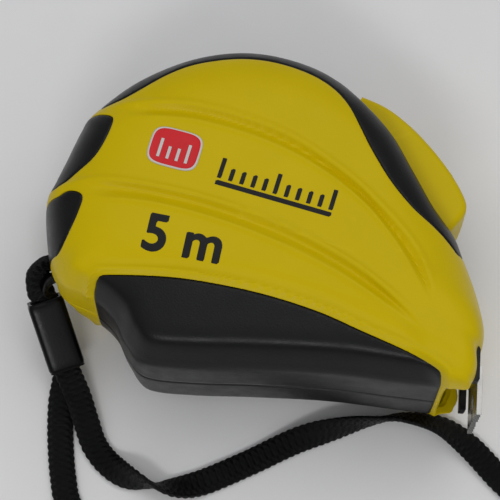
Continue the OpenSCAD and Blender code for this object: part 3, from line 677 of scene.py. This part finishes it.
def case_half(near, cols, rows, centre_rows):
    """One shell half with its openings, and the rubber pads let into it."""
    side = "near" if near else "far"
    attr, tris = case_field(near, cols, rows, centre_rows)
    xy = attr[:, [X, Y]]
    attr[:, OPEN] = opening(attr)
    for col, _, edge, rest in REGIONS:
        attr[:, col] = region_distance(xy, region_loop(edge, rest))
    grooves = (G1, G2) if near else ()
    for col, (upper, lower, *_) in zip(grooves, GROOVES):
        up, low = groove_edges(upper, lower)
        attr[:, col] = region_distance(xy, np.vstack([up, low[::-1]]))
    attr, tris = split(attr, tris, OPEN, 0)
    attr, tris = split(attr, tris, OPEN, -0.4)
    tris = tris[attr[tris, OPEN].mean(axis=1) < 0]
    for col, *_ in REGIONS:
        for cut in EDGE_CUTS:
            attr, tris = split(attr, tris, col, cut)
    for col in grooves:
        attr, tris = split(attr, tris, col, 0)
    label = np.zeros(len(tris), int)
    for k, (col, *_) in enumerate(REGIONS):
        label[attr[tris, col].mean(axis=1) > 0] = k + 1
    normal = attr[:, [NX, NY, NZ]]
    base = attr[:, [X, Y, RISE]]
    skin = base + normal * relief(attr, False)[:, None]
    # the shell runs on under the rubber, one rubber thickness lower
    n = len(attr)
    plain, covered = tris[label == 0], tris[label > 0]
    outer = np.vstack([skin, level(attr, RUBBER + 0.03)])
    top = np.vstack([plain, covered + n])
    wall = {tuple(e) for e in border(plain)} & {(b, a) for a, b in border(covered)}
    step = np.array([t for a, b in wall for t in ((b, a, a + n), (b, a + n, b + n))])
    # the rim joins the outer skin to the inner, whose points come last
    rim = border(np.vstack([top, step]))
    inside = np.where(rim < n, rim + 2 * n, rim + n)
    sides = np.vstack([np.column_stack([rim[:, 1], rim[:, 0], inside[:, 0]]),
                       np.column_stack([rim[:, 1], inside[:, 0], inside[:, 1]])])
    points = np.vstack([outer, level(attr, WALL)])
    faces = np.vstack([top, step, tris[:, ::-1] + 2 * n, sides])
    publish(side + "_shell_moulding", placed(points, near), oriented(faces, near), "case",
            "yellow_plastic", [side + "_shell"], angle=34)
    soft = base + normal * relief(attr, True)[:, None]
    for k, (col, name, *_) in enumerate(REGIONS):
        pad, faces = slab(soft, level(attr, RUBBER), tris[label == k + 1])
        publish(f"{side}_{name}_rubber", placed(pad, near), oriented(faces, near), "case",
                "black_rubber", [f"{side}_{name}"], angle=36)


# ---------------------------------------------------------------- straps and sleeve

def strap(name, route, spacing, nodes):
    """Flat braid along a route, with ribs across it and scalloped edges."""
    total = curve(route, 400)
    length = np.linalg.norm(np.diff(total[:, :3], axis=0), axis=1).sum()
    count = int(length / spacing)
    line = curve(route, count)
    roll = np.radians(line[:, 3])
    # the strap lies on the table, never in it
    low = (np.abs(np.sin(roll)) * STRAP_W + np.abs(np.cos(roll)) * STRAP_T) / 2 + 0.03
    at = np.column_stack([line[:, 0], line[:, 1], np.maximum(line[:, 2], low)])
    ahead = np.gradient(at, axis=0)
    ahead /= np.linalg.norm(ahead, axis=1)[:, None]
    side = np.column_stack([-ahead[:, 1], ahead[:, 0], np.zeros(count)])
    side /= np.linalg.norm(side, axis=1)[:, None]
    over = np.cross(ahead, side)
    edgeways = side * np.cos(roll)[:, None] + over * np.sin(roll)[:, None]
    outward = over * np.cos(roll)[:, None] - side * np.sin(roll)[:, None]
    around = 40
    # the section runs from -1 to 1 both ways
    across, up = rounded_section(2, 2, 0.62, around).T
    along = np.concatenate([[0], np.cumsum(np.linalg.norm(np.diff(at, axis=0), axis=1))])
    column = np.round((across[None, :] + 1) * STRAP_W / 2)
    rib = np.abs(np.cos(math.pi * along[:, None] / RIB + math.pi / 2 * column)) ** 0.8
    wide = STRAP_W / 2 * (0.92 + 0.08 * np.abs(np.cos(math.pi * along / RIB)))[:, None]
    furrow = 1 - 0.16 * np.sin(math.pi * (across[None, :] + 1) * STRAP_W / 2) ** 6
    thick = STRAP_T / 2 * (0.6 + 0.4 * rib) * furrow
    p = (at[:, None, :] + edgeways[:, None, :] * (across[None, :] * wide)[..., None]
         + outward[:, None, :] * (up[None, :] * thick)[..., None])
    uv = np.stack(np.broadcast_arrays(along[:, None], across[None, :] * STRAP_W / 2), -1)
    quads = grid_quads(count, around, wrap_cols=True).tolist()
    caps = [list(range(around))[::-1], [(count - 1) * around + k for k in range(around)]]
    piece = publish(name, p.reshape(-1, 3), [f[::-1] for f in quads + caps], "case",
                    "strap_fabric", nodes, angle=60, uv=uv.reshape(-1, 2))
    path = at[:: max(1, count // 300)] * MM
    return piece, path, length * MM


def rounded_section(w, t, power, count):
    """Points round a rounded rectangle. The lower the power, the squarer it is."""
    a = np.linspace(0, 2 * math.pi, count, endpoint=False)
    c, s = np.cos(a), np.sin(a)
    return np.stack([np.sign(c) * np.abs(c) ** power * w / 2,
                     np.sign(s) * np.abs(s) ** power * t / 2], 1)


def add_sleeve():
    """Moulded sleeve with rounded ends and a through hole."""
    count = 64
    outer = rounded_section(6.9, 5.0, 0.36, count)
    inner = rounded_section(6.4, 4.5, 0.3, count)
    # distance down the sleeve, section, and how far it is let out
    rings = [(d, outer, grow)
             for d, grow in ((0, -0.75), (0.12, -0.45), (0.35, -0.22), (0.7, -0.06), (1.1, 0))]
    rings += [(d, outer, 0) for d in np.linspace(2, SLEEVE_L - 2, 14)]
    rings += [(SLEEVE_L - up, outer, grow)
              for up, grow in ((0.8, 0), (0.45, -0.08), (0.15, -0.28), (0, -0.5))]
    rings += [(SLEEVE_L, inner, 0.1)]
    rings += [(d, inner, 0) for d in np.linspace(SLEEVE_L - 0.3, 0.3, 6)]
    rings += [(0, inner, 0.1)]
    points = []
    for d, section, grow in rings:
        ring = section * (1 + grow / np.linalg.norm(section, axis=1)[:, None])
        centre = SLEEVE_TOP + SLEEVE_DIR * d
        points.append(centre + ring[:, :1] * SLEEVE_SIDE + ring[:, 1:] * SLEEVE_UP)
    quads = grid_quads(len(rings), count, wrap_rows=True, wrap_cols=True)
    return publish("sleeve_moulding", np.vstack(points), quads, "sleeve", "black_plastic",
                   ["strap_sleeve"], angle=50)


def add_straps():
    """One length of braid: round the wrist loop, up through the sleeve, round the bar and back."""
    sleeve = add_sleeve()
    route = WRIST_ROUTE + [(x, y, z, roll + 360) for x, y, z, roll in EYE_ROUTE]
    spacing = 0.17
    braid, path, length = strap("strap_braid", route, spacing, ["wrist_strap", "strap_eye_loop"])


# ---------------------------------------------------------------- lock button

# outline of the button's crown, from the rear down to the front
BUTTON_TOP = [
    (20.6, 28.9), (25.2, 27), (29.7, 23.7), (33.7, 19.7), (37.1, 15.5), (39.2, 12.2), (40.3, 9.9),
    (40.6, 8.3), (40.2, 6.8), (39.2, 5.3), (37.9, 3.6), (36.4, 1.8), (34.9, 0.6)]


def add_block(pts, faces, outline, z0, z1):
    """Add a prism over an outline to the points and faces."""
    k = len(outline)
    block = [(i, (i + 1) % k, k + (i + 1) % k, k + i) for i in range(k)]
    block += [tuple(range(k))[::-1], tuple(range(k, 2 * k))]
    faces += [[i + len(pts) for i in face] for face in block]
    pts += [(x, y, z) for z in (z0, z1) for x, y in outline]


def arc(r, a0, a1, count):
    """Points on a circle about the case centre, between two angles in degrees."""
    return [(r * math.cos(math.radians(a)), r * math.sin(math.radians(a)))
            for a in np.linspace(a0, a1, count)]


def add_lock_button():
    """Thumb button: a crowned shell with rounded sides and grip lines, its runner and its leg."""
    half, edge_r = 8.0, 1.3
    top = curve(BUTTON_TOP, 130)
    along = np.gradient(top, axis=0)
    along /= np.linalg.norm(along, axis=1)[:, None]
    out = np.stack([-along[:, 1], along[:, 0]], 1)
    angle = np.degrees(np.arctan2(top[:, 1], top[:, 0]))
    lines = sum(np.exp(-((angle - a) / 0.55) ** 2) for a in (16, 19.5, 23, 26.5))
    # how far each row of the rounded side edges lies in from the side
    quarter = edge_r * (1 - np.cos(np.linspace(0, math.pi / 2, 9)))
    across = np.concatenate([quarter - half, np.linspace(edge_r - half, half - edge_r, 26)[1:-1],
                             half - quarter[::-1]])
    rows = []
    for z in across:
        edge = max(0.0, abs(z) - (half - edge_r)) / edge_r
        drop = edge_r * (1 - math.sqrt(max(0.0, 1 - edge * edge)))
        fade = smooth(0, 1.6, half - edge_r - abs(z) + 0.6)
        p = top - out * (drop + 0.35 * lines * fade + 0.0024 * z * z)[:, None]
        rows.append(np.column_stack([p, np.full(len(p), SEAM + z)]))
    foot = np.array(arc(31.0, 55, 1, len(top)))
    low = [np.column_stack([foot, np.full(len(foot), SEAM + z)]) for z in (-half, half)]
    side_near = [rows[-1] * (1 - k) + low[1] * k for k in (0.3, 0.65, 1.0)]
    side_far = [low[0] * (1 - k) + rows[0] * k for k in (0, 0.35, 0.7)]
    every = side_far + rows + side_near
    count, cols = len(every), len(top)
    pts = np.vstack(every).tolist()
    faces = grid_quads(count, cols, wrap_rows=True).tolist()
    faces += [[i * cols for i in range(count)], [i * cols + cols - 1 for i in range(count)][::-1]]
    runner = arc(31.2, -2, 52, 24) + arc(29.5, 52, -2, 24)
    leg = [(30.4, 4.2), (33.2, 6.6), (33.8, 2), (34, -14.5), (31.4, -14.5), (30.4, -6)]
    add_block(pts, faces, runner, 8.4, 27.6)
    add_block(pts, faces, leg, 13, 23)
    publish("lock_button_moulding", pts, faces, "lock", "yellow_plastic", ["lock_button"], angle=40)


# ---------------------------------------------------------------- blade, hook and rivets

def arched(v, radius):
    """y and z of a point v millimetres across the blade, on an arc of the given radius."""
    a = v / CURVE_R
    return CURVE_Y - radius * np.cos(a), SEAM + radius * np.sin(a)


def add_blade():
    """The straight stretch of blade, with its outer corners clipped."""
    x = np.linspace(8, BLADE_END, 95)
    v = np.linspace(-BLADE_W / 2, BLADE_W / 2, 61)
    gx, gv = np.meshgrid(x, v, indexing="ij")
    gx = gx - np.clip(np.abs(gv) - 7.9, 0, None) * np.clip((gx - 36) / (BLADE_END - 36), 0, 1)
    layers = []
    for radius in (CURVE_R - 0.1, CURVE_R + 0.1):
        y, z = arched(gv, radius)
        layers.append(np.stack([gx, y, z], -1).reshape(-1, 3))
    pts, faces = slab(*layers, grid_tris(len(x), len(v)))
    uv = np.stack([BLADE_END - gx, gv], -1).reshape(-1, 2)
    publish("blade_strip", pts, faces, "blade", "blade_paint", ["tape_blade"], angle=40,
            uv=np.vstack([uv, uv]))


def add_hook():
    """Bent hook plate: arched tongue, rounded bend, plate with teeth, a nail hole and a slit."""
    rear, bend_x, bend_r = 32.4, 42.7, 1.15
    foot_y, hole_y, hole_r, half_slit = -30.0, -26.4, 1.7, 0.6
    half_plate, half_thick = 7.5, 0.45
    teeth, cols = 8, 97
    path = [(x, 0.0) for x in np.linspace(rear, bend_x, 26)]
    path += [(bend_x + bend_r * math.sin(a), -bend_r * (1 - math.cos(a)))
             for a in np.linspace(0, math.pi / 2, 10)[1:]]
    across = np.linspace(-1, 1, cols)
    rows = []
    for x, drop in path:
        half_wide = 6.5 + smooth(41.5, 43.6, x)
        y, z = arched(across * half_wide, CURVE_R + 0.6)
        tip = 1.6 * np.abs(across) ** 5 * (1 - smooth(rear, 36, x))
        rows.append(np.column_stack([np.full(cols, x) + tip, y + drop, z]))
    edge = rows[-1]
    tooth = np.abs(((across + 1) / 2 * teeth) % 1 - 0.5) * 2
    foot = foot_y + 0.9 * (1 - tooth)
    for k in np.linspace(0, 1, 40)[1:]:
        row = edge.copy()
        row[:, 1] = edge[:, 1] * (1 - k) + foot * k
        row[:, 2] = SEAM + (edge[:, 2] - SEAM) * (1 - k) + across * half_plate * k
        rows.append(row)
    grid = np.stack(rows)
    n = np.cross(np.gradient(grid, axis=0), np.gradient(grid, axis=1))
    n /= np.linalg.norm(n, axis=-1, keepdims=True)
    # the last column is the depth inside the hole and the slit, which are cut from the plate only
    cut = 6
    attr = np.hstack([grid.reshape(-1, 3), n.reshape(-1, 3), np.zeros((len(rows) * cols, 1))])
    on_plate = attr[:, 0] > 43.5
    hole = hole_r - np.hypot(attr[:, 1] - hole_y, attr[:, 2] - SEAM)
    slit = np.minimum(half_slit - np.abs(attr[:, 2] - SEAM), hole_y - attr[:, 1])
    attr[:, cut] = np.where(on_plate, np.maximum(hole, slit), -5)
    attr, tris = split(attr, grid_tris(len(rows), cols), cut, 0, snap=0.03)
    tris = tris[attr[tris, cut].mean(axis=1) < 0]
    p, n = attr[:, :3], attr[:, 3:6]
    pts, faces = slab(p + n * half_thick, p - n * half_thick, tris)
    piece = publish("hook_plate", pts, faces, "hook", "plated_steel", ["end_hook"], angle=38)
    bevel(piece, 0.12, 50)


def add_rivets():
    """Domed tubular rivets with rolled heads."""
    # radius and height over the blade, from the head's middle round to the hollow end
    section = [(0, -1.05), (0.55, -1.0), (1.0, -0.86), (1.35, -0.62), (1.45, -0.3), (1.3, -0.12),
               (0.8, -0.1), (0.8, 1.15), (1.35, 1.18), (1.48, 1.32), (1.42, 1.5), (1.15, 1.64),
               (0.8, 1.62), (0.62, 1.48), (0.5, 1.25), (0, 1.2)]
    pts, faces, turns = [], [], 32
    for x, v in ((34.8, 0), (39.2, -4.4), (39.2, 4.4)):
        a = v / CURVE_R
        axis = np.array((0, -math.cos(a), math.sin(a)))
        centre = np.array((x, CURVE_Y, SEAM)) + axis * CURVE_R
        one = np.array((1.0, 0, 0))
        two = np.cross(axis, one)
        start = len(pts)
        for r, h in section:
            for k in range(turns):
                b = 2 * math.pi * k / turns
                spoke = one * math.cos(b) + two * math.sin(b)
                pts.append(centre + axis * h + spoke * max(r, 0.01))
        faces += (grid_quads(len(section), turns, wrap_cols=True) + start).tolist()
    publish("rivet_heads", pts, faces, "blade", "zinc_steel", ["hook_rivets"], angle=40)


def add_stops():
    """Thin rubber stops on the front wall beside the mouth, with eased ends."""
    outline = [
        (42, -25.2), (43.05, -25.2), (43.3, -24.8), (43.3, -19.4), (43, -18.9), (42, -18.9)]
    pts, faces = [], []
    for z in (5.5, 28.1):
        add_block(pts, faces, outline, z, z + 2.4)
    bevel(publish("mouth_stops", pts, faces, "case", "black_rubber", ["mouth_bumper"]), 0.18)


# ---------------------------------------------------------------- markings

def face_tree():
    """The near face, for the markings to lie on."""
    shell = bpy.data.objects["near_shell_moulding"]
    return BVHTree.FromPolygons([v.co / MM for v in shell.data.vertices],
                                [p.vertices[:] for p in shell.data.polygons])


def drape(tree, xy, lift):
    """Points on the near face below each x and y, lifted off it."""
    above = SEAM + 2 * HALF
    out = []
    for x, y in xy:
        place, *_ = tree.ray_cast(Vector((x, y, above)), Vector((0, 0, -1)))
        out.append((x, y, place.z + lift))
    return np.array(out)


def turned(points, place, degrees):
    """Points turned about the origin, then moved to a place."""
    c, s = math.cos(math.radians(degrees)), math.sin(math.radians(degrees))
    p = np.asarray(points, float)
    return np.stack([place[0] + p[:, 0] * c - p[:, 1] * s, place[1] + p[:, 0] * s + p[:, 1] * c], 1)


BADGE_AT = (-12.6, 12)
BADGE_TURN = -12


def add_badge(tree):
    """Plain rounded badge with a pale raised rim and four pale scale marks."""
    count = 72
    ring = rounded_section(9.4, 7.4, 0.5, count)
    rim_levels = 4
    # share of the outline, and height over the face
    levels = [(1.0, 0.0), (1.0, 0.14), (0.985, 0.24), (0.95, 0.3), (0.92, 0.27), (0.895, 0.2),
              (0.86, 0.18), (0.6, 0.2), (0.3, 0.22), (0.02, 0.23)]
    rows = []
    for scale, h in levels:
        rows.append(drape(tree, turned(ring * scale, BADGE_AT, BADGE_TURN), h))
    quads = grid_quads(len(levels), count, wrap_cols=True)
    rim = [1 if i < rim_levels * count else 0 for i in range(len(quads))]
    publish("face_badge_plate", np.vstack(rows), quads, "case", "red_print", ["face_badge"],
            angle=50, mats=["red_print", "white_print"], face_mats=rim)
    pts, faces = [], []
    pitch, half_bar, foot, cells = 1.7, 0.27, -2.3, 6
    for i, tall in ((-1.5, 3.6), (-0.5, 2.4), (0.5, 2.4), (1.5, 3.6)):
        bar = [(i * pitch + side, foot + tall * k / cells)
               for k in range(cells + 1) for side in (-half_bar, half_bar)]
        start = len(pts)
        pts += drape(tree, turned(bar, BADGE_AT, BADGE_TURN), 0.29).tolist()
        faces += [[start + 2 * k + corner for corner in (0, 1, 3, 2)] for k in range(cells)]
    publish("face_badge_marks", pts, faces, "case", "red_print", mats=["white_print"])


def outline_cells(loop):
    """Fill an outline with small triangles."""
    step = 0.35
    loop = np.array(loop, float)
    low, high = loop.min(0) - step, loop.max(0) + step
    nx, ny = np.ceil((high - low) / step).astype(int) + 1
    gx, gy = np.meshgrid(low[0] + np.arange(nx) * step, low[1] + np.arange(ny) * step,
                         indexing="ij")
    xy = np.stack([gx.ravel(), gy.ravel()], 1)
    attr = np.column_stack([xy, region_distance(xy, loop)])
    attr, tris = split(attr, grid_tris(nx, ny), 2, 0.0, snap=0.02)
    return attr[:, :2], tris[attr[tris, 2].mean(axis=1) > 0]


def letter_loops(text, size, bold):
    """Outlines of plain letters from the built-in font, each as one closed loop.

    bold pushes the outlines outwards. A loop of a few points is a sliver, and is left out.
    """
    data = bpy.data.curves.new("letters", "FONT")
    data.body, data.size, data.offset = text, size, bold
    holder = bpy.data.objects.new("letters", data)
    mesh = bpy.data.meshes.new_from_object(holder)
    mesh.calc_loop_triangles()
    xy = np.array([v.co[:2] for v in mesh.vertices])
    tris = np.array([t.vertices[:] for t in mesh.loop_triangles])
    after = {int(a): int(b) for a, b in border(tris)}
    sliver_points = 12
    loops = []
    while after:
        here = min(after)
        loop = []
        while here in after:
            loop.append(xy[here])
            here = after.pop(here)
        if len(loop) > sliver_points:
            loops.append(np.array(loop))
    bpy.data.objects.remove(holder)
    bpy.data.meshes.remove(mesh)
    return loops


def box_loop(x0, y0, x1, y1):
    return [(x0, y0), (x1, y0), (x1, y1), (x0, y1)]


def add_print(tree):
    """The length of the tape, and a short ruler scale of ten steps."""
    pitch, mark, steps = 2.05, 0.8, 10
    shapes = [(loop, (-17.4, -6.7), -8) for loop in letter_loops("5 m", 9.4, 0.26)]
    scale = []
    for i in range(steps + 1):
        tall = 3.9 if i % 5 == 0 else 2.4
        scale.append(box_loop(pitch * i, 0, pitch * i + mark, tall))
    scale.append(box_loop(0, -1.3, pitch * steps + mark, -0.4))
    shapes += [(loop, (-4.8, 7.1), -13) for loop in scale]
    pts, faces, start = [], [], 0
    for loop, place, degrees in shapes:
        xy, tris = outline_cells(loop)
        used, flat = np.unique(tris, return_inverse=True)
        pts.append(drape(tree, turned(xy[used], place, degrees), 0.035))
        faces.append(flat.reshape(-1, 3) + start)
        start += len(used)
    publish("face_print_marks", np.vstack(pts), np.vstack(faces), "case", "black_print",
            ["face_print"], angle=60)


# ---------------------------------------------------------------- CAD nodes that keep their shape

# material, and how far the edges are rounded
KEPT = {
    "blade_guide": ("black_plastic", 0.2),
    "centre_post": ("black_plastic", 0.15), "post_screw": ("zinc_steel", 0.08),
    "case_screws": ("zinc_steel", 0.08), "lanyard_bar": ("zinc_steel", 0.0),
    "power_spring": ("spring_steel", 0.0), "reel": ("reel_plastic", 0.15),
    "reel_cover": ("reel_plastic", 0.15), "tape_coil": ("blade_paint", 0.0),
    "lock_shoe": ("black_rubber", 0.15)}


def finish_kept():
    for name, (slot, width) in KEPT.items():
        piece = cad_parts[name]
        piece.data.materials.clear()
        piece.data.materials.append(MATS[slot])
        if width:
            bevel(piece, width)


add_camera()
add_straps()
add_studio()
add_floor()
case_half(True, 420, 74, 25)
case_half(False, 300, 56, 9)
add_lock_button()
add_blade()
add_hook()
add_rivets()
add_stops()
tree = face_tree()
add_badge(tree)
add_print(tree)
finish_kept()
